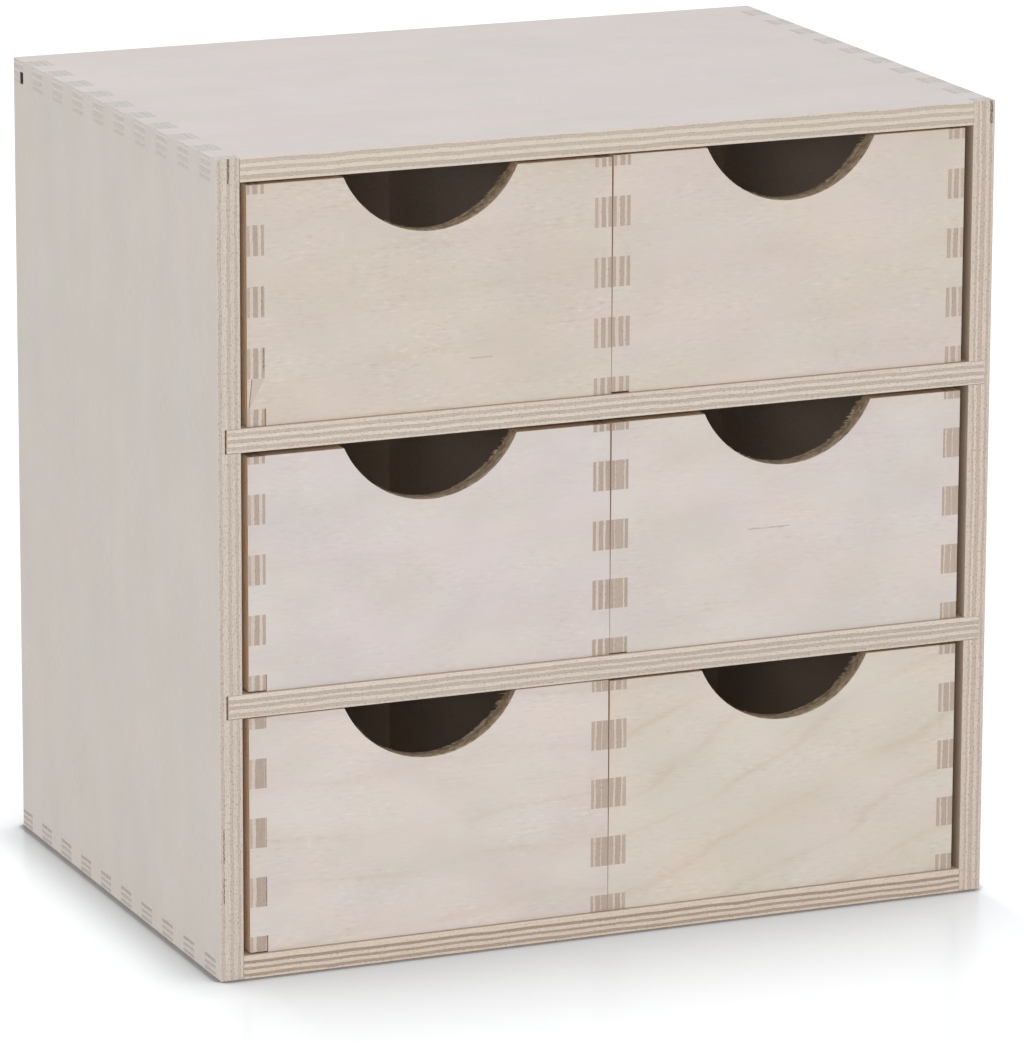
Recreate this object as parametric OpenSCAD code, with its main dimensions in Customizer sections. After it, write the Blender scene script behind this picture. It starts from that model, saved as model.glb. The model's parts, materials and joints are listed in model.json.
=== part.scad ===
// Desktop chest with six small drawers, all of finger-jointed plywood.
// Millimetres, +Z up, fronts facing -Y, origin at the middle of the footprint.
// The cabinet is four outer panels, two housed shelves and a thin back in a groove.
// Each drawer is a box of four finger-jointed walls round a thin grooved bottom.

/* [Cabinet] */
// Overall width
cabinet_w = 275; // [220:1:360]
// Overall depth
cabinet_d = 195; // [150:1:280]
// Thickness of the outer panels and the shelves
panel_t = 8; // [7:0.5:12]
// Clear height of each of the three bays
bay_h = 80; // [60:1:120]

/* [Cabinet joints] */
// Width of one finger of the corner joints
corner_finger_w = 10; // [8:0.5:16]
// Width of the part finger that a side shows at its front corners
corner_first_w = 5; // [3:0.5:12]
// Depth of the housings in the sides that hold the shelves
housing_depth = 5.6; // [3:0.1:6.4]
// Gap left between a shelf's left end and the bottom of its housing
housing_gap = 0.6; // [0:0.1:1.2]

/* [Cabinet back] */
// Thickness of the back
back_t = 3; // [2:0.5:5]
// Distance from the rear edges in to the groove of the back
back_inset = 6.8; // [4:0.1:14]
// Depth of the groove that holds the back
back_groove_depth = 4; // [2:0.5:5]
// Play of a thin panel in its groove
groove_play = 0.2; // [0.1:0.05:0.4]

/* [Drawers] */
// Thickness of the drawer walls
wall_t = 6; // [5:0.5:9]
// Width of one finger of the drawer joints
wall_finger_w = 10; // [7:0.5:14]
// Width of the part finger that a drawer side shows at its lower corners
wall_first_w = 5.5; // [3:0.5:8]
// Gap above the left drawers of the bottom, middle and top row
gap_above_left = [0.5, 1.8, 1.2]; // [0.4:0.1:3]
// Gap above the right drawers of the bottom, middle and top row
gap_above_right = [1, 1.7, 0.8]; // [0.4:0.1:3]
// Gap between a drawer and the side of the cabinet
side_gap = 2.5; // [0.5:0.1:4]
// Gap between the two drawers of a row
middle_gap = 0.6; // [0.3:0.1:3]
// Gap between a drawer's underside and the shelf that it slides on
running_gap = 0.2; // [0.1:0.05:0.5]
// How far the drawer fronts stand back from the front edges of the cabinet
front_recess = 1; // [0:0.5:5]
// Gap between a closed drawer and the back, which stops it
stop_gap = 0.3; // [0.1:0.1:3]

/* [Drawer bottoms] */
// Thickness of a drawer bottom
bottom_t = 3; // [2:0.5:4]
// Height of a drawer bottom's underside above the lower edges of the walls
bottom_lift = 6.5; // [3:0.5:12]
// Depth of the groove that holds a drawer bottom
bottom_groove_depth = 3; // [1.5:0.5:4]

/* [Finger grips] */
// Radius of the round cut-out in the upper edge of a drawer front
grip_r = 33; // [20:1:45]
// Depth of the cut-out below the upper edge
grip_depth = 19.5; // [12:0.5:30]

/* [Hidden] */
$fn = 96;
// How far a cut runs past the face it opens through
cut = 1;

ROWS = ["bottom", "middle", "top"];
COLUMNS = ["left", "right"];
WALLS = ["front", "left_side", "right_side", "back", "bottom"];
CABINET_NODES = [
    "cabinet_left_side", "cabinet_right_side", "cabinet_top", "cabinet_bottom",
    "lower_shelf", "upper_shelf", "cabinet_back"
];
function drawer_node(row, column, piece) =
    str(ROWS[row], "_", COLUMNS[column], "_drawer_", piece);

PANEL_COLOUR = "#CFC3BA";
SHELF_COLOUR = "#C9BBAE";
FRONT_COLOUR = "#D6CBBF";
WALL_COLOUR = "#CDBFB0";
THIN_COLOUR = "#C2B2A0";

cabinet_h = len(ROWS) * bay_h + (len(ROWS) + 1) * panel_t;
bay_pitch = bay_h + panel_t;
inner_w = cabinet_w - 2 * panel_t;
left_x = -cabinet_w / 2;
front_y = -cabinet_d / 2;
back_groove_w = back_t + groove_play;
// Depth of the bays, from the front edges to the face of the back
bay_d = cabinet_d - back_inset - back_groove_w;

drawer_w = (inner_w - len(COLUMNS) * side_gap - (len(COLUMNS) - 1) * middle_gap) / len(COLUMNS);
drawer_d = bay_d - front_recess - stop_gap;
function drawer_h(row, column) =
    bay_h - running_gap - (column == 0 ? gap_above_left : gap_above_right)[row];

// Start and end of each finger along an edge, from the first finger on
function fingers(first, width, length) = [
    for (start = [first : 2 * width : length])
        if (start < length) [start, min(start + width, length)]
];
// The stretches of an edge that the given fingers leave
function between(spans, length) = concat(
    [[0, spans[0][0]]],
    [for (i = [0 : len(spans) - 1])
        let (end = i < len(spans) - 1 ? spans[i + 1][0] : length)
            if (spans[i][1] < end) [spans[i][1], end]]
);

// A finger's span, run on past the edge's ends where it touches them, to cut right through
function run_out(span, length) = [
    span[0] > 0 ? span[0] : -cut,
    span[1] < length ? span[1] : length + cut
];

// Along the depth: where the top and bottom reach out to the faces of the sides
plate_fingers = fingers(corner_first_w, corner_finger_w, cabinet_d);
side_fingers = between(plate_fingers, cabinet_d);
// Along a drawer's height: where its front and back reach out to the faces of its sides
function front_fingers(height) = fingers(wall_first_w, wall_finger_w, height);
function wall_fingers(height) = between(front_fingers(height), height);

// The box from one corner to the opposite one
module block(low, high) {
    translate(low) cube(high - low);
}

// Puts a piece that is drawn from the cabinet's lower front left corner in its place
module in_cabinet() {
    translate([left_x, front_y, 0]) children();
}

// Puts a piece that is drawn from a drawer's lower front left corner in its place
module in_drawer(row, column) {
    x = panel_t + side_gap + column * (drawer_w + middle_gap);
    z = panel_t + row * bay_pitch + running_gap;
    in_cabinet() translate([x, front_recess, z]) children();
}

// Turns a left-hand piece of something of the given width into the right-hand one
module right_hand(width) {
    translate([width, 0, 0]) mirror([1, 0, 0]) children();
}

// The groove of the cabinet's back, as one box that every panel round it is cut by;
// reach is how far it runs past the inner faces of the sides
module back_groove(reach) {
    low = [panel_t - reach, bay_d, panel_t - back_groove_depth];
    high = [cabinet_w - panel_t + reach, bay_d + back_groove_w, cabinet_h - low[2]];
    block(low, high);
}

// The groove of a drawer's bottom, as one box that all four walls are cut by
module bottom_groove() {
    side = wall_t - bottom_groove_depth;
    low = [side, side, bottom_lift];
    high = [drawer_w - side, drawer_d - side, bottom_lift + bottom_t + groove_play];
    block(low, high);
}

module side_panel() {
    difference() {
        block([0, 0, 0], [panel_t, cabinet_d, cabinet_h]);
        for (finger = plate_fingers, z = [-cut, cabinet_h - panel_t]) {
            span = run_out(finger, cabinet_d);
            block([-cut, span[0], z], [panel_t + cut, span[1], z + panel_t + cut]);
        }
        for (i = [1 : len(ROWS) - 1])
            block(
                [panel_t - housing_depth, -cut, i * bay_pitch],
                [panel_t + cut, bay_d, i * bay_pitch + panel_t]
            );
        back_groove(back_groove_depth);
    }
}

// The top or bottom as it lies, with its underside at height z
module plate(z) {
    difference() {
        block([0, 0, z], [cabinet_w, cabinet_d, z + panel_t]);
        for (finger = side_fingers, x = [-cut, cabinet_w - panel_t]) {
            span = run_out(finger, cabinet_d);
            block([x, span[0], z - cut], [x + panel_t + cut, span[1], z + panel_t + cut]);
        }
    }
}

module shelf(index) {
    seat = panel_t - housing_depth;
    in_cabinet()
        block(
            [seat + housing_gap, 0, index * bay_pitch],
            [cabinet_w - seat, bay_d, index * bay_pitch + panel_t]
        );
}

module cabinet_left_side() {
    color(PANEL_COLOUR) in_cabinet() side_panel();
}

module cabinet_right_side() {
    color(PANEL_COLOUR) in_cabinet() right_hand(cabinet_w) side_panel();
}

// The groove of the back runs out through both ends of the top
module cabinet_top() {
    color(PANEL_COLOUR) in_cabinet() difference() {
        plate(cabinet_h - panel_t);
        back_groove(panel_t + cut);
    }
}

module cabinet_bottom() {
    color(PANEL_COLOUR) in_cabinet() difference() {
        plate(0);
        back_groove(back_groove_depth);
    }
}

module lower_shelf() {
    color(SHELF_COLOUR) shelf(1);
}

module upper_shelf() {
    color(SHELF_COLOUR) shelf(2);
}

module cabinet_back() {
    edge = panel_t - back_groove_depth + groove_play;
    low = [edge, bay_d, edge - groove_play];
    high = [cabinet_w - edge, bay_d + back_t, cabinet_h - edge];
    color(THIN_COLOUR) in_cabinet() block(low, high);
}

// A drawer's front or back before its cut-out: both ends fingered, the groove inside
module cross_wall(height) {
    difference() {
        block([0, 0, 0], [drawer_w, wall_t, height]);
        for (finger = wall_fingers(height), x = [-cut, drawer_w - wall_t]) {
            span = run_out(finger, height);
            block([x, -cut, span[0]], [x + wall_t + cut, wall_t + cut, span[1]]);
        }
        bottom_groove();
    }
}

module drawer_front(row, column) {
    height = drawer_h(row, column);
    color(FRONT_COLOUR) in_drawer(row, column) difference() {
        cross_wall(height);
        translate([drawer_w / 2, wall_t + cut, height - grip_depth + grip_r])
            rotate([90, 0, 0]) cylinder(r = grip_r, h = wall_t + 2 * cut);
    }
}

module drawer_back(row, column) {
    color(WALL_COLOUR) in_drawer(row, column)
        translate([0, drawer_d, 0]) mirror([0, 1, 0]) cross_wall(drawer_h(row, column));
}

module drawer_side(height) {
    difference() {
        block([0, 0, 0], [wall_t, drawer_d, height]);
        for (finger = front_fingers(height), y = [-cut, drawer_d - wall_t]) {
            span = run_out(finger, height);
            block([-cut, y, span[0]], [wall_t + cut, y + wall_t + cut, span[1]]);
        }
        bottom_groove();
    }
}

module drawer_left_side(row, column) {
    color(WALL_COLOUR) in_drawer(row, column) drawer_side(drawer_h(row, column));
}

module drawer_right_side(row, column) {
    color(WALL_COLOUR) in_drawer(row, column)
        right_hand(drawer_w) drawer_side(drawer_h(row, column));
}

module drawer_bottom(row, column) {
    edge = wall_t - bottom_groove_depth + groove_play;
    low = [edge, edge, bottom_lift];
    high = [drawer_w - edge, drawer_d - edge, bottom_lift + bottom_t];
    color(THIN_COLOUR) in_drawer(row, column) block(low, high);
}

cabinet_left_side();
cabinet_right_side();
cabinet_top();
cabinet_bottom();
lower_shelf();
upper_shelf();
cabinet_back();
for (row = [0 : len(ROWS) - 1], column = [0 : len(COLUMNS) - 1]) {
    drawer_front(row, column);
    drawer_left_side(row, column);
    drawer_right_side(row, column);
    drawer_back(row, column);
    drawer_bottom(row, column);
}
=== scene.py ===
"""Looks of the desktop cabinet of six small drawers: birch plywood boards, finger-jointed, unfinished.

Every length is in metres and in the frame's own axes: X across, Y from the front to the back, Z up.
The boards' places come from the frame, and the plies of each sheet are real thicknesses in millimetres.
"""

import json
import math
import random

import bmesh
import bpy
from mathutils import Matrix, Vector, noise
from mathutils.bvhtree import BVHTree

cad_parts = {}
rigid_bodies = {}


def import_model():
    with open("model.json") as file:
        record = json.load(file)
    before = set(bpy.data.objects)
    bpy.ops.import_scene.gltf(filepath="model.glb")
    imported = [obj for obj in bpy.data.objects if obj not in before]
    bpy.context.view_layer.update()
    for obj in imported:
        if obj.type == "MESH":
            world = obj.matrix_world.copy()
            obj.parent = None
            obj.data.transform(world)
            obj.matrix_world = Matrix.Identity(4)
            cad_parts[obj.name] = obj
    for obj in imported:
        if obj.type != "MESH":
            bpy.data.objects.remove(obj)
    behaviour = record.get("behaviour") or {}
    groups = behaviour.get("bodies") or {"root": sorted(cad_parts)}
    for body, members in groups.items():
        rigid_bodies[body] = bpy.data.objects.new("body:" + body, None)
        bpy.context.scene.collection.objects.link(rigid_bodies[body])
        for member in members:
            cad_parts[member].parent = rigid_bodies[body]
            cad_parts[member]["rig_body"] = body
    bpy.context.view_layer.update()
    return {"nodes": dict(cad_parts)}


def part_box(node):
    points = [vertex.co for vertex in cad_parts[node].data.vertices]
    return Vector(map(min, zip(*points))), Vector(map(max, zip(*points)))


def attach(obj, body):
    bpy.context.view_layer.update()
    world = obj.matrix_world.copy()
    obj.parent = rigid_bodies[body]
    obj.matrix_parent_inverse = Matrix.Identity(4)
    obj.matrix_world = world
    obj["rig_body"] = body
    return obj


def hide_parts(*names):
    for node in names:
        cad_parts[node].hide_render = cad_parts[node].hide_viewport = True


MM = 0.001

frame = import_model()
nodes = frame["nodes"]

# ---------------------------------------------------------------------------
# The sheets and the boards cut from them
# ---------------------------------------------------------------------------

X, Y, Z = 0, 1, 2

# Veneers of each sheet in millimetres, from the board's low face to its high one.
CABINET_SHEET = (1.1, 1.2, 1.15, 1.1, 1.15, 1.2, 1.1)
DRAWER_SHEET = (0.95, 1.35, 1.4, 1.35, 0.95)
THIN_SHEET = (0.9, 1.2, 0.9)

# A glue line between two veneers, in millimetres: some twice the real one, so that it shows.
GLUE_LINE = 0.12

# Veneers sanded or peeled unevenly, board by board, as the front edges and the finger ends show them.
UNEVEN_SHEETS = {
    "cabinet_left_side": (0.4, 1.0, 2.0, 1.1, 1.5, 0.9, 1.1),
    "cabinet_right_side": (1.5, 0.7, 0.9, 1.5, 1.4, 0.8, 1.2),
    "cabinet_top": (0.95, 1.35, 1.35, 1.15, 1.35, 1.2, 0.65),
    "cabinet_bottom": (0.8, 1.0, 1.2, 0.85, 1.2, 1.0, 1.95),
    "upper_shelf": (0.8, 1.2, 1.2, 1.15, 1.2, 1.05, 1.4),
    "lower_shelf": (0.8, 1.2, 1.25, 1.1, 0.9, 1.2, 1.55),
    "top_left_drawer_left_side": (0.95, 1.15, 1.6, 1.2, 1.1),
    "top_left_drawer_right_side": (1.15, 1.25, 1.45, 0.95, 1.2),
    "top_right_drawer_left_side": (0.9, 1.3, 1.6, 0.95, 1.25),
    "top_right_drawer_right_side": (1.25, 0.95, 1.6, 1.0, 1.2),
    "middle_left_drawer_left_side": (0.8, 1.35, 1.65, 1.15, 1.05),
    "middle_left_drawer_right_side": (1.1, 1.0, 1.6, 0.9, 1.4),
    "middle_right_drawer_left_side": (0.95, 0.35, 3.0, 0.6, 1.1),
    "middle_right_drawer_right_side": (0.7, 0.7, 1.85, 0.4, 2.35),
    "bottom_left_drawer_left_side": (0.85, 1.3, 3.2, 0.25, 0.4),
    "bottom_left_drawer_right_side": (0.9, 0.8, 1.7, 0.4, 2.2),
    "bottom_right_drawer_left_side": (1.3, 0.8, 1.9, 0.7, 1.3),
    "bottom_right_drawer_right_side": (1.1, 0.8, 1.9, 0.6, 1.6),
}

# How light each of those plies is on its cut end, where that stands out.
PLY_TONES = {
    "cabinet_top": (0.98, 0.95, 1.0, 1.01, 1.0, 1.01, 1.0),
    "cabinet_bottom": (1.0, 0.98, 1.0, 0.99, 1.0, 0.88, 1.02),
    "top_left_drawer_left_side": (1.07, 0.97, 0.94, 1.0, 0.99),
    "top_left_drawer_right_side": (1.07, 1.0, 0.98, 1.0, 1.02),
    "top_right_drawer_left_side": (1.0, 1.0, 1.0, 0.98, 0.99),
    "top_right_drawer_right_side": (1.04, 1.0, 1.0, 1.0, 1.15),
    "middle_left_drawer_left_side": (1.08, 0.95, 0.94, 1.0, 0.98),
    "middle_left_drawer_right_side": (0.96, 1.0, 0.96, 1.0, 0.95),
    "middle_right_drawer_left_side": (0.95, 0.98, 1.03, 1.0, 0.94),
    "middle_right_drawer_right_side": (0.97, 1.0, 1.05, 1.0, 1.05),
    "bottom_left_drawer_left_side": (1.12, 0.98, 0.93, 0.9, 0.86),
    "bottom_left_drawer_right_side": (1.03, 0.98, 1.0, 0.96, 1.0),
    "bottom_right_drawer_left_side": (1.03, 1.0, 0.98, 1.0, 1.07),
    "bottom_right_drawer_right_side": (1.04, 1.0, 1.0, 0.96, 1.02),
}

# A board's name ends in one of these: the axis through the sheet, the axis of its face grain,
# the sheet it is cut from, and the slot of its finish.
BOARD_KINDS = {
    "cabinet_left_side": (X, Z, CABINET_SHEET, "cabinet_plywood"),
    "cabinet_right_side": (X, Z, CABINET_SHEET, "cabinet_plywood"),
    "cabinet_top": (Z, X, CABINET_SHEET, "cabinet_plywood"),
    "cabinet_bottom": (Z, X, CABINET_SHEET, "cabinet_plywood"),
    "_shelf": (Z, X, CABINET_SHEET, "cabinet_plywood"),
    "cabinet_back": (Y, Z, THIN_SHEET, "thin_plywood"),
    "_drawer_front": (Y, X, DRAWER_SHEET, "drawer_front_plywood"),
    "_drawer_left_side": (X, Y, DRAWER_SHEET, "drawer_wall_plywood"),
    "_drawer_right_side": (X, Y, DRAWER_SHEET, "drawer_wall_plywood"),
    "_drawer_back": (Y, X, DRAWER_SHEET, "drawer_wall_plywood"),
    "_drawer_bottom": (Z, X, THIN_SHEET, "thin_plywood"),
}

# A veneer: its ground colour, how cloudy that is, and how strongly its grain shows. The hidden faces are
# warmer than the outer ones, so that the light between them turns golden in the gaps and brown in the grips.
RAW = ("#E0CDB8", 0.9, 0.5)
GOLDEN = ("#E2BC97", 0.9, 0.5)
# BAY and SHADY are darker still: painted shade that deepens the bays and the gap inside the right side.
BAY = ("#BFAC9A", 0.9, 0.6)
SHADY = ("#B4A292", 0.9, 0.6)
OUTER_SIDE = ("#DBD2CC", 0.6, 0.3)
TOP_FACE = ("#D8CFCE", 0.7, 0.25)

# The veneers of each cabinet board's low face and high face.
CABINET_FACES = {
    "cabinet_left_side": (OUTER_SIDE, GOLDEN),
    "cabinet_right_side": (SHADY, OUTER_SIDE),
    "cabinet_top": (RAW, TOP_FACE),
    "cabinet_bottom": (OUTER_SIDE, BAY),
    "cabinet_back": (BAY, OUTER_SIDE),
    "_shelf": (BAY, BAY),
}

# The veneer of each drawer's front.
FRONT_FACES = {
    "top_left_drawer_front": ("#DDD0C6", 0.9, 0.6),
    "top_right_drawer_front": ("#DFD2C9", 0.9, 0.46),
    "middle_left_drawer_front": ("#E0D5D2", 1.3, 0.4),
    "middle_right_drawer_front": ("#E1D6D1", 1.2, 0.42),
    "bottom_left_drawer_front": ("#E2D7D2", 1.4, 0.44),
    "bottom_right_drawer_front": ("#E2D7CC", 1.0, 0.46),
}

# The veneers inside each row of drawers: of the walls and the bottom, and of the back. Lighter in the upper
# rows and darker on the backs, they hold painted light and shade that set how bright each grip looks.
INSIDE_FACES = {
    "top": (("#F8E5D6", 0.9, 0.6), ("#DFC7B7", 0.9, 0.6)),
    "middle": (("#EED8C6", 0.9, 0.6), ("#CFB8A5", 0.9, 0.6)),
    "bottom": (("#E3CDB9", 0.9, 0.6), ("#C8B29E", 0.9, 0.6)),
}

# How the growth rings run over a drawer front: their slope, and how strongly they show.
GROWTH_RINGS = {
    "top_left_drawer_front": (0.12, 1.1),
    "top_right_drawer_front": (0.05, 0.8),
    "middle_left_drawer_front": (0.1, 0.9),
    "middle_right_drawer_front": (0.02, 1.0),
    "bottom_left_drawer_front": (0.01, 2.6),
    "bottom_right_drawer_front": (0.42, 3.4),
}
PLAIN_RINGS = (0.02, 0.7)

# The colours of cut edges that face the front, of a ply cut along its grain and of one cut across it,
# and then the same of edges that face any other way. The fronts' other ends are lighter: painted light, so
# that they glow warm in the gaps beside them.
PALE_PAIR = ("#D9CABD", "#BDAA9D")
RAW_PAIR = ("#CDB598", "#B0967A")
WARM_PAIR = ("#E6CFB2", "#D8BC9C")
EDGES = {
    "cabinet_left_side": ("#D5C8BC", "#C9BAAC", "#CDC8C3", "#C4BFBA"),
    "cabinet_right_side": ("#DCCDBF", "#CBB9AB", "#CDC8C3", "#C4BFBA"),
    "cabinet_top": ("#DFD2C4", "#C9BBAC", "#DAD1CB", "#CFC5BF"),
    "cabinet_bottom": ("#DFCFBF", "#B4A18F", "#C4B6AE", "#D6CDC7"),
    "_shelf": ("#DED0C3", "#C6B8AB") + RAW_PAIR,
    "_drawer_left_side": PALE_PAIR + RAW_PAIR,
    "_drawer_right_side": PALE_PAIR + RAW_PAIR,
    "_drawer_front": PALE_PAIR + WARM_PAIR,
    "": RAW_PAIR + RAW_PAIR,
}

# How rough the saw left a board's front edge, as the share by which its pores darken it.
SAWN_ROUGH = {
    "cabinet_left_side": 0.3,
    "cabinet_right_side": 0.3,
    "cabinet_bottom": 0.2,
    "_shelf": 0.22,
}
SAWN_FINE = 0.12

# How far behind its front edge a cabinet board's back groove runs, in millimetres.
BACK_GROOVE = 186.6

# Voids and cracks seen from the front, painted dark as shade where the boards have no holes, in millimetres
# from the board's lower left corner: middle and half length across, middle and half length upwards, and how
# dark.
VOID_SHADES = {
    "cabinet_left_side": (
        (4.0, 0.35, 268.0, 4.2, 0.8),
        (1.25, 0.2, 30.8, 4.3, 0.7),
        (1.25, 0.2, 45.8, 5.8, 0.7),
    ),
    "cabinet_right_side": ((6.6, 0.5, 268.2, 4.0, 0.7),),
    "top_left_drawer_left_side": ((5.75, 0.2, 21.8, 3.9, 0.7), (5.2, 0.3, 40.5, 5.0, 0.25)),
    "bottom_left_drawer_left_side": ((5.8, 0.2, 20.5, 5.0, 0.6),),
    "top_left_drawer_front": ((81.0, 4.0, 16.0, 0.25, 0.25),),
    "middle_right_drawer_front": ((56.8, 7.5, 37.6, 0.25, 0.3),),
}


def by_ending(table, name, otherwise=None):
    """What a table says of a board, from the ending of its name."""
    for ending, entry in table.items():
        if name.endswith(ending):
            return entry
    return otherwise


def veneers_of(name):
    """The veneers of a board's low face and of its high face; inside the drawers they carry painted light
    and shade.
    """
    if "_drawer_" not in name:
        return by_ending(CABINET_FACES, name)
    walls, back = INSIDE_FACES[name.split("_")[0]]
    if name.endswith("_front"):
        return FRONT_FACES[name], walls
    if name.endswith("_back"):
        return back, RAW
    if name.endswith("_right_side"):
        return walls, RAW
    return RAW, walls


# ---------------------------------------------------------------------------
# Materials
# ---------------------------------------------------------------------------


def linear(hex_colour):
    """Turns an sRGB hex colour into the linear colour that a shader takes."""
    channels = [int(hex_colour[i : i + 2], 16) / 255 for i in (1, 3, 5)]
    return [c / 12.92 if c <= 0.04045 else ((c + 0.055) / 1.055) ** 2.4 for c in channels] + [1.0]


def add(tree, kind, inputs, **settings):
    """Adds a node with its settings. An input is a plain value, a socket, or a node for its first output."""
    node = tree.nodes.new("ShaderNode" + kind)
    for name, value in settings.items():
        setattr(node, name, value)
    for socket, value in inputs.items():
        if isinstance(value, bpy.types.Node):
            value = next(output for output in value.outputs if output.enabled)
        if isinstance(value, bpy.types.NodeSocket):
            tree.links.new(value, node.inputs[socket])
        else:
            node.inputs[socket].default_value = value
    return node


def material_tree(name):
    """A new material and its empty node tree."""
    material = bpy.data.materials.new(name)
    material.use_nodes = True
    material.node_tree.nodes.clear()
    return material, material.node_tree


def streaks(tree, wood, lengths, detail=2.0):
    """Noise whose features are as long as given, in millimetres, along, across and through the board."""
    rates = [1 / length for length in lengths]
    run = add(tree, "VectorMath", {0: wood, 1: rates}, operation="MULTIPLY")
    return add(tree, "TexNoise", {"Vector": run, "Scale": 1.0, "Detail": detail})


def ply_ramp(ramp, plies, tones):
    """Fills a ramp through the sheet: red marks cross plies, green glue, blue how light each ply is."""
    glue = GLUE_LINE / 2
    thickness = sum(plies)
    ramp.interpolation = "CONSTANT"
    ramp.elements.remove(ramp.elements[1])
    depth = 0
    for index, ply in enumerate(plies):
        start = ramp.elements[0] if index == 0 else ramp.elements.new((depth + glue) / thickness)
        start.color = (index % 2, 0, tones[index] - 0.5, 1)
        depth += ply
        if index < len(plies) - 1:
            line = ramp.elements.new((depth - glue) / thickness)
            line.color = (index % 2, 1, tones[index] - 0.5, 1)


def clouded(tree, wood, veneer):
    """The ground colour of a rotary-cut veneer, clouded faintly with rose, sage, straw and lilac."""
    ground, cloudy, _ = veneer
    clouds = add(tree, "SeparateColor", {0: streaks(tree, wood, (36, 22, 22), 3.0).outputs["Color"]})
    spread = {"From Min": 0.36, "From Max": 0.64, "To Min": 0.5 - cloudy / 2, "To Max": 0.5 + cloudy / 2}
    rosy = add(tree, "MapRange", {"Value": clouds.outputs[0], **spread})
    straw = add(tree, "MapRange", {"Value": clouds.outputs[1], **spread})
    dark = add(tree, "MapRange", {"Value": clouds.outputs[2], **spread})
    hue = {"Factor": rosy, "A": linear("#FCFFFD"), "B": linear("#FFFDFE")}
    warmth = {"Factor": straw, "A": linear("#FEFEFF"), "B": linear("#FFFFFB")}
    shade = {"Factor": dark, "A": linear("#FFFFFF"), "B": linear("#F8F8F7")}
    colour = linear(ground)
    for tint in (hue, warmth, shade):
        tinted = {"Factor": 1.0, "A": colour, "B": add(tree, "Mix", tint, data_type="RGBA")}
        colour = add(tree, "Mix", tinted, data_type="RGBA", blend_type="MULTIPLY")
    return colour


def veneer_marks(tree, name, wood, fibre):
    """The marks of a veneer's grain: how light its fibres and flecks are, and how deep its growth rings."""
    slope, strength = GROWTH_RINGS.get(name, PLAIN_RINGS)
    crowded = streaks(tree, wood, (34, 16, 16))
    crowding = {"Value": crowded, "From Min": 0.38, "From Max": 0.62, "To Min": 0.3, "To Max": 1.2}
    crowd = add(tree, "MapRange", crowding)
    fleck = streaks(tree, wood, (3.6, 1.0, 1.0), 1.5)
    dark = add(tree, "MapRange", {"Value": fleck, "From Min": 0.56, "From Max": 0.74, "To Max": -0.17})
    light = add(tree, "MapRange", {"Value": fleck, "From Min": 0.42, "From Max": 0.27, "To Max": 0.15})
    flecks = add(tree, "Math", {0: dark, 1: light}, operation="ADD")
    flecks = add(tree, "Math", {0: flecks, 1: crowd}, operation="MULTIPLY")

    # Rings some 18 mm apart, each a soft band that ends in a darker line.
    place = add(tree, "SeparateXYZ", {0: wood})
    slanted = {0: place.outputs[0], 1: -slope, 2: place.outputs[1]}
    climb = add(tree, "Math", slanted, operation="MULTIPLY_ADD")
    swaying = {0: streaks(tree, wood, (90, 30, 30)), 1: 30.0, 2: climb}
    sway = add(tree, "Math", swaying, operation="MULTIPLY_ADD")
    rings = add(tree, "Math", {0: sway, 1: 9.0}, operation="PINGPONG")
    band = add(tree, "MapRange", {"Value": rings, "From Max": 9.0, "To Min": 0.03, "To Max": 0.0})
    line = add(tree, "MapRange", {"Value": rings, "From Max": 2.0, "To Min": 0.08, "To Max": 0.0})
    line = add(tree, "Math", {0: line, 1: crowd}, operation="MULTIPLY")
    ring = add(tree, "Math", {0: band, 1: line}, operation="ADD")
    fine = {"Value": fibre, "From Min": 0.3, "From Max": 0.7, "To Min": -0.03, "To Max": 0.03}
    lightness = add(tree, "Math", {0: flecks, 1: add(tree, "MapRange", fine)}, operation="ADD")
    return lightness, add(tree, "Math", {0: ring, 1: strength}, operation="MULTIPLY")


def void_shade_mask(tree, axes, wood, faults):
    """Where a board's voids and cracks lie, with ragged outlines; they are painted dark as shade."""
    ragged = add(tree, "SeparateColor", {0: streaks(tree, wood, (1.2, 1.2, 1.2)).outputs["Color"]})
    across = add(tree, "Math", {0: ragged.outputs[0], 1: 0.7, 2: axes.outputs[X]}, operation="MULTIPLY_ADD")
    upwards = add(tree, "Math", {0: ragged.outputs[1], 1: 0.7, 2: axes.outputs[Z]}, operation="MULTIPLY_ADD")
    mask = 0.0
    for middle_x, half_x, middle_z, half_z, dark in faults:
        beside = add(tree, "Math", {0: across, 1: middle_x + 0.35, 2: half_x}, operation="COMPARE")
        level = add(tree, "Math", {0: upwards, 1: middle_z + 0.35, 2: half_z}, operation="COMPARE")
        inside = add(tree, "Math", {0: beside, 1: level}, operation="MULTIPLY")
        mask = add(tree, "Math", {0: inside, 1: dark, 2: mask}, operation="MULTIPLY_ADD")
    return mask


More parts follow.
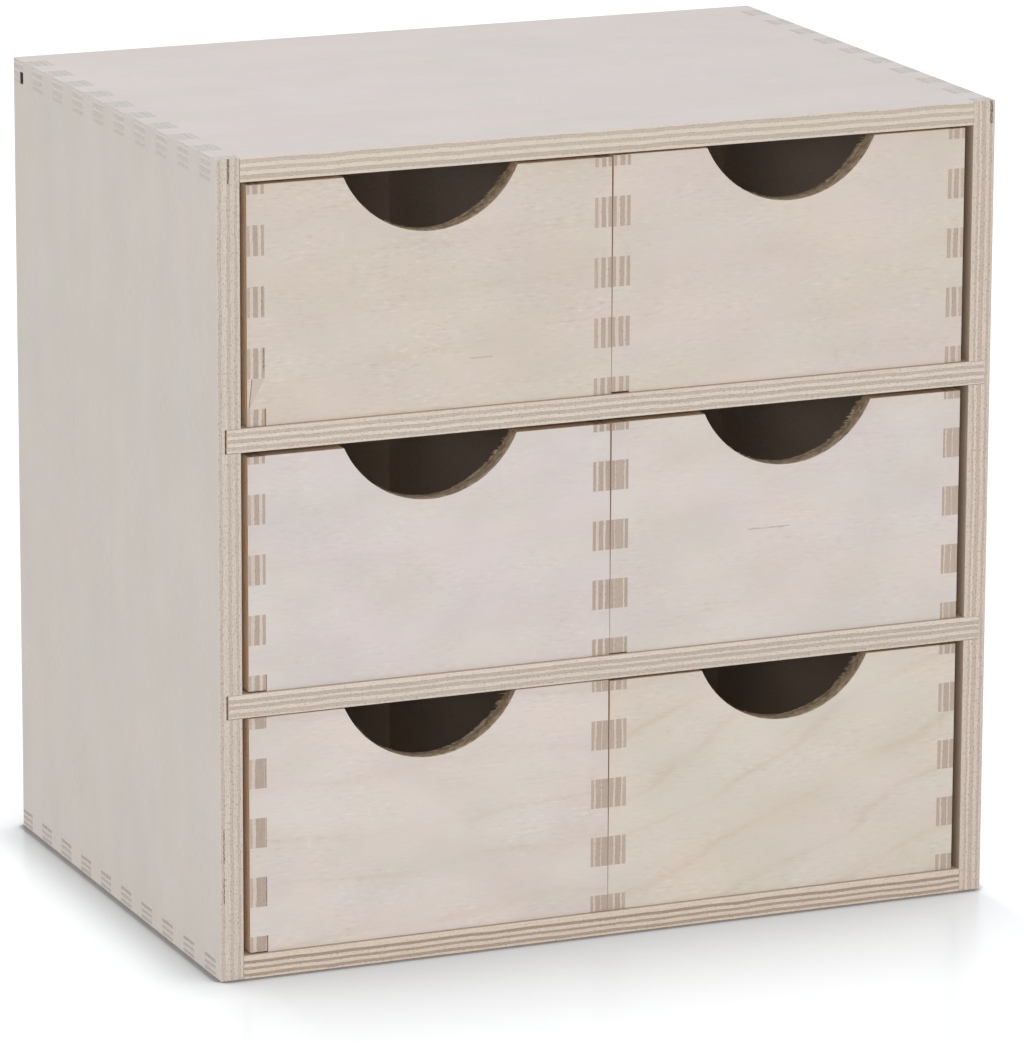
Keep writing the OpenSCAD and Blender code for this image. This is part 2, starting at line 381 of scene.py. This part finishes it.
def sawn_rim(tree, name, wood, axes, colour, edge):
    """The rim of a finger grip and its splinters, which the saw left rough, darkened partly as rough end
    grain and partly as painted shade.
    """
    low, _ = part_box(name)
    centre = (grip_centre(name) - low) / MM
    flat = add(tree, "CombineXYZ", {0: axes.outputs[X], 2: axes.outputs[Z]})
    distance = {0: flat, 1: (centre.x, 0, centre.z)}
    spoke = add(tree, "VectorMath", distance, operation="DISTANCE").outputs["Value"]
    on_rim = add(tree, "Math", {0: spoke, 1: GRIP_RADIUS / MM + 0.03}, operation="LESS_THAN")
    rough = streaks(tree, wood, (2.0, 2.0, 1.4), 3.0)
    # Darkened towards #5A5347: rough end grain, and painted shade of the grip's recess.
    rough_and_shaded = {"Value": rough, "From Min": 0.34, "From Max": 0.66, "To Min": 0.25, "To Max": 0.75}
    mix = {"Factor": add(tree, "MapRange", rough_and_shaded), "A": linear("#5A5347"), "B": edge}
    darker = add(tree, "Mix", mix, data_type="RGBA")
    return add(tree, "Mix", {"Factor": on_rim, "A": colour, "B": darker}, data_type="RGBA")


def torn_finger(tree, axes, colour):
    """The top left drawer's lowest finger, whose veneer has split off along a slanting crack, painted as a
    dark line of shade.
    """
    along = axes.outputs[X]
    above = add(tree, "Math", {0: along, 1: -1.8, 2: axes.outputs[Z]}, operation="MULTIPLY_ADD")
    torn = add(tree, "Math", {0: above, 1: 4.6}, operation="GREATER_THAN")
    below = add(tree, "Math", {0: axes.outputs[Z], 1: 15.4}, operation="LESS_THAN")
    torn = add(tree, "Math", {0: torn, 1: below}, operation="MULTIPLY")
    lean = add(tree, "Math", {0: axes.outputs[Z], 1: -0.105, 2: along}, operation="MULTIPLY_ADD")
    crack = add(tree, "Math", {0: lean, 1: 0.02, 2: 0.13}, operation="COMPARE")
    inner = add(tree, "Math", {0: lean, 1: 0.0}, operation="GREATER_THAN")
    deep = add(tree, "Math", {0: torn, 1: inner}, operation="MULTIPLY")
    # The crack's dark line is painted shade, as the mesh has no crack.
    crack_shade = add(tree, "Math", {0: torn, 1: crack}, operation="MULTIPLY")
    bare = add(tree, "Mix", {"Factor": deep, "A": colour, "B": linear("#CDBFB0")}, data_type="RGBA")
    return add(tree, "Mix", {"Factor": crack_shade, "A": bare, "B": linear("#7D6A59")}, data_type="RGBA")


def birch_plywood(name, seed):
    """Sanded, unfinished birch plywood: pale fine-grained veneer, darker where a ply's end grain shows."""
    through, grain, plies, _ = by_ending(BOARD_KINDS, name)
    plies = by_ending(UNEVEN_SHEETS, name, plies)
    chance = [1 + 0.07 * noise.noise((seed * 3.7, index * 5.3, 0.5)) for index in range(len(plies))]
    tones = by_ending(PLY_TONES, name, chance)
    across = 3 - through - grain
    low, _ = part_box(name)
    material, tree = material_tree("birch_plywood_" + name)
    mixed = {"data_type": "RGBA"}
    scaled = {"data_type": "RGBA", "blend_type": "MULTIPLY"}

    # Board coordinates in millimetres: along the face grain, across it, and through the sheet.
    place = add(tree, "TexCoord", {})
    from_corner = add(tree, "VectorMath", {0: place.outputs["Object"], 1: low}, operation="SUBTRACT")
    in_mm = add(tree, "VectorMath", {0: from_corner, "Scale": 1 / MM}, operation="SCALE")
    axes = add(tree, "SeparateXYZ", {0: in_mm})
    board = add(tree, "CombineXYZ", {i: axes.outputs[a] for i, a in enumerate((grain, across, through))})
    wood = add(tree, "VectorMath", {0: board, 1: (97.0 * seed, 61.0 * seed, 0)}, operation="ADD")
    normal = add(tree, "SeparateXYZ", {0: place.outputs["Normal"]})
    facing = [add(tree, "Math", {0: normal.outputs[a]}, operation="ABSOLUTE") for a in (X, Y, Z)]

    # Plies: their boundaries wander by a tenth or two of a millimetre over some centimetres.
    waves = streaks(tree, wood, (18, 18, 18))
    wander = {"Value": waves, "From Min": 0.3, "From Max": 0.7, "To Min": -0.2, "To Max": 0.2}
    depth = add(tree, "Math", {0: axes.outputs[through], 1: add(tree, "MapRange", wander)}, operation="ADD")
    share = add(tree, "Math", {0: depth, 1: sum(plies)}, operation="DIVIDE")
    sheet = add(tree, "ValToRGB", {"Fac": share})
    ply_ramp(sheet.color_ramp, plies, tones)
    layer = add(tree, "SeparateColor", {0: sheet})
    is_cross = layer.outputs["Red"]

    # The wood's fibres, some millimetres long and a few tenths thick, along each ply's own grain.
    along_face = streaks(tree, wood, (7, 0.5, 0.5), 3.0)
    along_cross = streaks(tree, wood, (0.5, 7, 0.5), 3.0)
    fibre = add(tree, "Mix", {"Factor": is_cross, "A": along_face, "B": along_cross}, data_type="FLOAT")

    # Faces: the clouded veneer of each side and the marks of its grain.
    low_face, high_face = veneers_of(name)
    middle = sum(plies) / 2
    is_high = add(tree, "Math", {0: axes.outputs[through], 1: middle}, operation="GREATER_THAN")
    ground = {"Factor": is_high, "A": clouded(tree, wood, low_face), "B": clouded(tree, wood, high_face)}
    strength = add(tree, "Mix", {"Factor": is_high, "A": low_face[2], "B": high_face[2]}, data_type="FLOAT")
    lightness, rings = veneer_marks(tree, name, wood, fibre)
    grainy = add(tree, "Math", {0: lightness, 1: strength, 2: 1.0}, operation="MULTIPLY_ADD")
    face = add(tree, "Mix", {"Factor": 1.0, "A": add(tree, "Mix", ground, **mixed), "B": grainy}, **scaled)
    ring_depth = add(tree, "Math", {0: rings, 1: strength}, operation="MULTIPLY")
    face = add(tree, "Mix", {"Factor": ring_depth, "A": face, "B": linear("#D9B59B")}, **scaled)

    # Edges: end grain where the surface cuts a ply's fibres squarely, with rings that run along the ply,
    # sawn pores and broken dark glue threads.
    front_long, front_end, other_long, other_end = [linear(c) for c in by_ending(EDGES, name)]
    cut = {"Factor": is_cross, "A": facing[grain], "B": facing[across]}
    squarely = add(tree, "Mix", cut, data_type="FLOAT")
    at_front = add(tree, "Mix", {"Factor": squarely, "A": front_long, "B": front_end}, **mixed)
    elsewhere = add(tree, "Mix", {"Factor": squarely, "A": other_long, "B": other_end}, **mixed)
    along_y = add(tree, "Math", {0: facing[Y], 1: 0.5}, operation="GREATER_THAN")
    forward = add(tree, "Math", {0: axes.outputs[Y], 1: 2.0}, operation="LESS_THAN")
    is_front = add(tree, "Math", {0: along_y, 1: forward}, operation="MULTIPLY")
    edge = add(tree, "Mix", {"Factor": is_front, "A": elsewhere, "B": at_front}, **mixed)
    tone = add(tree, "MapRange", {"Value": layer.outputs["Blue"], "To Min": 0.5, "To Max": 1.5})
    growth = streaks(tree, wood, (5, 5, 0.3))
    ringed = {"Value": growth, "From Min": 0.3, "From Max": 0.7, "To Min": 0.93, "To Max": 1.07}
    sawn = by_ending(SAWN_ROUGH, name, SAWN_FINE)
    pores = streaks(tree, wood, (1.0, 1.0, 0.4), 2.0)
    pitted = {"Value": pores, "From Min": 0.52, "From Max": 0.68, "To Min": 1.0, "To Max": 1.0 - sawn}
    for factor in (tone, add(tree, "MapRange", ringed), add(tree, "MapRange", pitted)):
        edge = add(tree, "Mix", {"Factor": 1.0, "A": edge, "B": factor}, **scaled)
    broken = {"Value": pores, "From Min": 0.48, "From Max": 0.64, "To Min": 0.05, "To Max": 0.8}
    unbroken = {0: layer.outputs["Green"], 1: add(tree, "MapRange", broken)}
    thread = add(tree, "Math", unbroken, operation="MULTIPLY")
    edge = add(tree, "Mix", {"Factor": thread, "A": edge, "B": linear("#8F7E6F")}, **mixed)

    # The walls of the groove for the cabinet's back, which lie in the dark: painted shade, a dark brown on
    # their faces.
    if name.startswith("cabinet_"):
        inner = add(tree, "Math", {0: axes.outputs[Y], 1: BACK_GROOVE, 2: 2.0}, operation="COMPARE")
        groove = add(tree, "Math", {0: along_y, 1: inner}, operation="MULTIPLY")
        edge = add(tree, "Mix", {"Factor": groove, "A": edge, "B": linear("#4B3D32")}, **mixed)

    # Faces and edges together, and then what is peculiar to this one board.
    on_face = add(tree, "MapRange", {"Value": facing[through], "From Min": 0.6, "From Max": 0.8})
    colour = add(tree, "Mix", {"Factor": on_face, "A": edge, "B": face}, **mixed)
    if name.endswith("_front"):
        colour = sawn_rim(tree, name, wood, axes, colour, edge)
    if name == "top_left_drawer_front":
        colour = torn_finger(tree, axes, colour)
    # Painted shade in the voids and cracks, on the surfaces that face the front.
    if name in VOID_SHADES:
        mask = void_shade_mask(tree, axes, wood, VOID_SHADES[name])
        gaps = {"Value": pores, "From Min": 0.4, "From Max": 0.5, "To Min": 0.6}
        seen = add(tree, "Math", {0: mask, 1: add(tree, "MapRange", gaps)}, operation="MULTIPLY")
        seen = add(tree, "Math", {0: seen, 1: is_front}, operation="MULTIPLY")
        colour = add(tree, "Mix", {"Factor": seen, "A": colour, "B": linear("#4A3C31")}, **mixed)
    relief = add(tree, "Bump", {"Height": fibre, "Strength": 0.3, "Distance": 0.05 * MM})
    rough = {"Value": fibre, "From Min": 0.3, "From Max": 0.7, "To Min": 0.6, "To Max": 0.7}
    finish = {"Base Color": colour, "Roughness": add(tree, "MapRange", rough), "IOR": 1.5, "Normal": relief}
    add(tree, "OutputMaterial", {"Surface": add(tree, "BsdfPrincipled", finish)})
    return material


# ---------------------------------------------------------------------------
# Boards with worked edges
# ---------------------------------------------------------------------------

# How far the sander broke the corners of each kind of board.
SANDED_ARRIS = {
    "cabinet_plywood": 0.35 * MM,
    "drawer_front_plywood": 0.12 * MM,
    "drawer_wall_plywood": 0.12 * MM,
}

# The finger grips' circle, and how thick the drawers' walls are.
GRIP_RADIUS = 33 * MM
GRIP_DEPTH = 19.5 * MM
WALL = 6 * MM

# Drawers rack a little: towards their lower edges, the two of a row lean together. They rest on the shelf.
LEAN = 0.26 * MM
SINK = 0.14 * MM

# Sides that were cut a little short, so that the front ends of their lower edges stand clear of the shelf.
SHORT_SIDES = {
    "top_right_drawer_left_side": 0.55 * MM,
    "middle_right_drawer_left_side": 0.35 * MM,
    "middle_left_drawer_left_side": 0.35 * MM,
    "bottom_left_drawer_left_side": 0.35 * MM,
}

# Fronts whose lowest left notch was cut a little wide.
WIDE_NOTCHES = {
    "top_left_drawer_front": 0.4 * MM,
    "middle_left_drawer_front": 0.25 * MM,
    "bottom_left_drawer_front": 0.3 * MM,
}


def neighbours_of(name):
    """A search tree over the other boards of the same body, to tell open edges from joined ones."""
    body = nodes[name]["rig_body"]
    corners = []
    faces = []
    for other, piece in nodes.items():
        if other == name or piece["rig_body"] != body:
            continue
        start = len(corners)
        corners += [v.co.copy() for v in piece.data.vertices]
        faces += [[start + i for i in polygon.vertices] for polygon in piece.data.polygons]
    return BVHTree.FromPolygons(corners, faces)


def is_corner(edge):
    """True where two faces meet at an outside corner."""
    return len(edge.link_faces) == 2 and edge.is_convex and edge.calc_face_angle(0) > math.radians(30)


def open_corners(mesh, name):
    """The outside corners of a board that the sander reaches, and not those that lie along a joint."""
    others = neighbours_of(name)
    reach = 0.15 * MM
    found = []
    for edge in filter(is_corner, mesh.edges):
        middle = (edge.verts[0].co + edge.verts[1].co) / 2
        outward = (edge.link_faces[0].normal + edge.link_faces[1].normal).normalized()
        _, _, _, distance = others.find_nearest(middle + outward * reach)
        if distance > reach * 0.9:
            found.append(edge)
    return found


def grip_centre(name):
    """The centre of the circle that a front's finger grip is cut to, at the front face."""
    low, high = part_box(name)
    return Vector(((low.x + high.x) / 2, low.y, high.z - GRIP_DEPTH + GRIP_RADIUS))


def round_grip(mesh, name, seed):
    """Refines the arc of a front's finger grip to a circle, with the small nicks that the saw left."""
    pick = random.Random(seed)
    centre = grip_centre(name)

    def off_centre(point):
        return Vector((point.x - centre.x, 0, point.z - centre.z))

    def on_arc(vertex):
        return abs(off_centre(vertex.co).length - GRIP_RADIUS) < 0.05 * MM

    def at_one_depth(edge):
        return abs(edge.verts[0].co.y - edge.verts[1].co.y) < 0.001 * MM

    arc = [edge for edge in mesh.edges if all(map(on_arc, edge.verts)) and at_one_depth(edge)]
    made = bmesh.ops.subdivide_edges(mesh, edges=arc, cuts=3, use_grid_fill=True)
    for vertex in [v for v in made["geom_inner"] if isinstance(v, bmesh.types.BMVert)]:
        spoke = off_centre(vertex.co)
        if spoke.length > GRIP_RADIUS * 0.98:
            in_front = vertex.co.y < centre.y + WALL / 2
            nick = pick.uniform(-0.1, 0.02) if in_front else pick.uniform(-0.15, 0.05)
            vertex.co += spoke.normalized() * (GRIP_RADIUS + nick * MM - spoke.length)


def torn_fibres(mesh, name, seed):
    """Splinters up to two millimetres long that the saw left along the back of a finger grip."""
    pick = random.Random(seed)
    centre = grip_centre(name)
    half_arc = math.acos(1 - GRIP_DEPTH / GRIP_RADIUS)
    tufts = [pick.uniform(0.1, 0.9) * half_arc for _ in range(5)]
    for _ in range(150):
        in_tuft = pick.random() < 0.6
        angle = pick.gauss(pick.choice(tufts), 0.09) if in_tuft else pick.uniform(-0.9, 0.95) * half_arc
        if abs(angle) > 0.95 * half_arc:
            continue
        outward = Vector((math.sin(angle), 0, -math.cos(angle)))
        root = centre + outward * GRIP_RADIUS + Vector((0, WALL - pick.uniform(0.05, 0.5) * MM, 0))
        length = pick.uniform(0.4, 1.9) * MM * (0.35 + abs(math.sin(angle)))
        thick = pick.uniform(0.1, 0.26) * MM
        across = -math.copysign(length, angle)
        tip = Vector((across, pick.uniform(-0.1, 0.05) * MM, pick.uniform(-0.1, 0.25) * MM))
        rise = Vector((0, 0, thick))
        inward = Vector((0, -thick, 0))
        foot = [mesh.verts.new(root + outward * 0.1 * MM + step) for step in (rise, -rise, inward)]
        point = mesh.verts.new(root + tip)
        for i in range(3):
            mesh.faces.new((foot[i], foot[i - 1], point))
        mesh.faces.new(foot)


def rack(mesh, name):
    """Moves a drawer board's sides by tenths of a millimetre, as the built drawer came out."""
    row, column = name.split("_")[:2]
    low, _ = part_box(name)
    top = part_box(f"{row}_{column}_drawer_front")[1].z
    middle = -0.3 * MM if column == "left" else 0.3 * MM
    for vertex in mesh.verts:
        if abs(vertex.co.x - middle) < 0.05 * MM:
            vertex.co.x -= math.copysign(LEAN * (top - vertex.co.z) / (80 * MM), middle)
        if vertex.co.z < low.z + 0.05 * MM:
            vertex.co.z -= SINK
    if name in SHORT_SIDES:
        for vertex in mesh.verts:
            if vertex.co.z < low.z + 0.05 * MM and vertex.co.y < low.y + WALL:
                vertex.co.z += SHORT_SIDES[name]
    if name in WIDE_NOTCHES:
        for vertex in mesh.verts:
            at_notch = abs(vertex.co.x - low.x - WALL) < 0.05 * MM
            if at_notch and vertex.co.z < low.z + 5.6 * MM:
                vertex.co.x += WIDE_NOTCHES[name]


def worked_board(name, seed):
    """A board of the frame with its own mesh: sanded open edges, and the small faults of the built one."""
    slot = by_ending(BOARD_KINDS, name)[3]
    mesh = bmesh.new()
    mesh.from_mesh(nodes[name].data)
    bmesh.ops.remove_doubles(mesh, verts=mesh.verts, dist=1e-6)
    bmesh.ops.dissolve_limit(mesh, angle_limit=math.radians(0.5), verts=mesh.verts, edges=mesh.edges)
    if name.endswith("_front"):
        round_grip(mesh, name, seed)
    bmesh.ops.recalc_face_normals(mesh, faces=mesh.faces)
    mesh.normal_update()
    sanded = open_corners(mesh, name)
    if "_drawer_" in name:
        rack(mesh, name)
    arris = SANDED_ARRIS[slot]
    round_over = {"offset": arris, "segments": 2, "profile": 0.5, "affect": "EDGES", "clamp_overlap": True}
    bmesh.ops.bevel(mesh, geom=sanded, **round_over)
    if name.endswith("_front"):
        torn_fibres(mesh, name, seed)
        bmesh.ops.recalc_face_normals(mesh, faces=mesh.faces)
    data = bpy.data.meshes.new(name + "_board")
    mesh.to_mesh(data)
    mesh.free()
    piece = bpy.data.objects.new(name + "_board", data)
    bpy.context.scene.collection.objects.link(piece)
    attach(piece, nodes[name]["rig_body"])
    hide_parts(name)
    return piece


def make_boards():
    """Every board: thin ones stay as they are, the others get worked edges, and each has its own veneer."""
    for seed, name in enumerate(sorted(nodes), start=1):
        slot = by_ending(BOARD_KINDS, name)[3]
        piece = nodes[name] if slot == "thin_plywood" else worked_board(name, seed)
        piece.data.materials.clear()
        piece.data.materials.append(birch_plywood(name, seed))


# ---------------------------------------------------------------------------
# Camera, floor and light
# ---------------------------------------------------------------------------


def photo_camera():
    """The photograph's view: from the front left, a little above the top, through a long lens."""
    turn = math.radians(-23.02)
    tilt = math.radians(14.01)
    roll = math.radians(0.22)
    forward = Vector((-math.sin(turn) * math.cos(tilt), math.cos(turn) * math.cos(tilt), -math.sin(tilt)))
    level = forward.cross(Vector((0, 0, 1))).normalized()
    upright = level.cross(forward)
    right = level * math.cos(roll) + upright * math.sin(roll)
    up = upright * math.cos(roll) - level * math.sin(roll)
    data = bpy.data.cameras.new("photo_camera")
    data.lens = 248.2
    data.sensor_width = 36
    data.clip_end = 20
    camera = bpy.data.objects.new("photo_camera", data)
    turned = Matrix((right, up, -forward)).transposed().to_4x4()
    camera.matrix_world = Matrix.Translation((-0.9215, -2.1828, 0.7104)) @ turned
    bpy.context.scene.collection.objects.link(camera)
    bpy.context.scene.camera = camera


def white_floor():
    """A white lacquered board as floor, with a soft grey shadow and a dark line at the cabinet's foot."""
    material, tree = material_tree("white_lacquered_board")
    place = add(tree, "TexCoord", {})
    grit = add(tree, "TexNoise", {"Vector": place.outputs["Object"], "Scale": 40.0, "Detail": 2.0})
    rough = add(tree, "MapRange", {"Value": grit, "To Min": 0.22, "To Max": 0.28})
    # Shade at the cabinet's foot: broad ahead of it, narrow on its left, none on its right,
    # and a dark line where it touches the floor.
    ahead = add(tree, "AmbientOcclusion", {"Color": linear("#FFFFFF"), "Distance": 95 * MM}, samples=16)
    beside = add(tree, "AmbientOcclusion", {"Color": linear("#FFFFFF"), "Distance": 24 * MM}, samples=16)
    touching = add(tree, "AmbientOcclusion", {"Color": linear("#FFFFFF"), "Distance": 5 * MM}, samples=16)
    crease = add(tree, "AmbientOcclusion", {"Color": linear("#FFFFFF"), "Distance": 4 * MM}, samples=16)
    side = add(tree, "SeparateXYZ", {0: place.outputs["Object"]})
    to_left = add(tree, "MapRange", {"Value": side.outputs[X], "From Min": -0.125, "From Max": -0.15})
    deepest = add(tree, "MapRange", {"Value": to_left, "To Min": 0.6, "To Max": 0.35})
    contact = {"Value": touching.outputs["AO"], "From Min": 0.5, "To Min": deepest}
    line = {"Value": crease.outputs["AO"], "From Min": 0.74, "From Max": 0.86}
    deeper = add(tree, "MapRange", {"Value": beside.outputs["AO"], "From Min": 0.5, "To Min": 0.25})
    near = {"Factor": to_left, "A": ahead.outputs["AO"], "B": deeper}
    shade = {0: add(tree, "Mix", near, data_type="FLOAT"), 1: add(tree, "MapRange", contact)}
    shade = {0: add(tree, "Math", shade, operation="MULTIPLY"), 1: add(tree, "MapRange", line)}
    shade = add(tree, "Math", shade, operation="MULTIPLY")
    lit_side = add(tree, "MapRange", {"Value": side.outputs[X], "From Min": 0.135, "From Max": 0.142})
    shade = add(tree, "Mix", {"Factor": lit_side, "A": shade, "B": 1.0}, data_type="FLOAT")
    # The camera sees the board shine white by itself, and everything else sees plain lacquer.
    path = add(tree, "LightPath", {})
    lift = add(tree, "Math", {0: path.outputs["Is Camera Ray"], 1: 0.76}, operation="MULTIPLY")
    glow = add(tree, "Math", {0: lift, 1: shade}, operation="MULTIPLY")
    white = {"Factor": lift, "A": linear("#FAFBFC"), "B": linear("#000000")}
    board = {
        "Base Color": add(tree, "Mix", white, data_type="RGBA"),
        "Roughness": rough,
        "IOR": 1.45,
        "Emission Color": linear("#FAFDFF"),
        "Emission Strength": glow,
    }
    add(tree, "OutputMaterial", {"Surface": add(tree, "BsdfPrincipled", board)})
    data = bpy.data.meshes.new("floor")
    half = 6.0
    corners = [(-half, -half, 0), (half, -half, 0), (half, half, 0), (-half, half, 0)]
    data.from_pydata(corners, [], [(0, 1, 2, 3)])
    data.materials.append(material)
    floor = bpy.data.objects.new("floor", data)
    bpy.context.scene.collection.objects.link(floor)


def soft_lamp(name, place, aim, size, power):
    """A square softbox that points at a spot."""
    data = bpy.data.lights.new(name, "AREA")
    data.shape = "SQUARE"
    data.size = size
    data.energy = power
    lamp = bpy.data.objects.new(name, data)
    direction = Vector(aim) - Vector(place)
    lamp.matrix_world = Matrix.Translation(place) @ direction.to_track_quat("-Z", "Y").to_matrix().to_4x4()
    bpy.context.scene.collection.objects.link(lamp)


def white_room():
    """A white surround that lights the cabinet evenly, and looks plain white to the camera."""
    world = bpy.data.worlds.new("white_room")
    bpy.context.scene.world = world
    world.use_nodes = True
    tree = world.node_tree
    tree.nodes.clear()
    path = add(tree, "LightPath", {})
    seen = {0: path.outputs["Is Camera Ray"], 1: path.outputs["Is Glossy Ray"]}
    seen = {0: add(tree, "Math", seen, operation="MAXIMUM"), 1: path.outputs["Is Transmission Ray"]}
    seen = add(tree, "Math", seen, operation="MAXIMUM")
    strength = add(tree, "MapRange", {"Value": seen, "To Min": 0.62, "To Max": 1.0})
    light = add(tree, "Background", {"Color": linear("#FFFFFF"), "Strength": strength})
    add(tree, "OutputWorld", {"Surface": light})


def studio():
    """Floor, surround and lamps."""
    white_floor()
    white_room()
    soft_lamp("top_softbox", (-0.4, 0.0, 2.4), (0, 0, 0.2), 1.8, 18.0)
    soft_lamp("camera_softbox", (-1.3, -2.8, 0.95), (0, 0, 0.14), 0.8, 19.4)


make_boards()
photo_camera()
studio()

bpy.context.scene.view_settings.view_transform = "Standard"
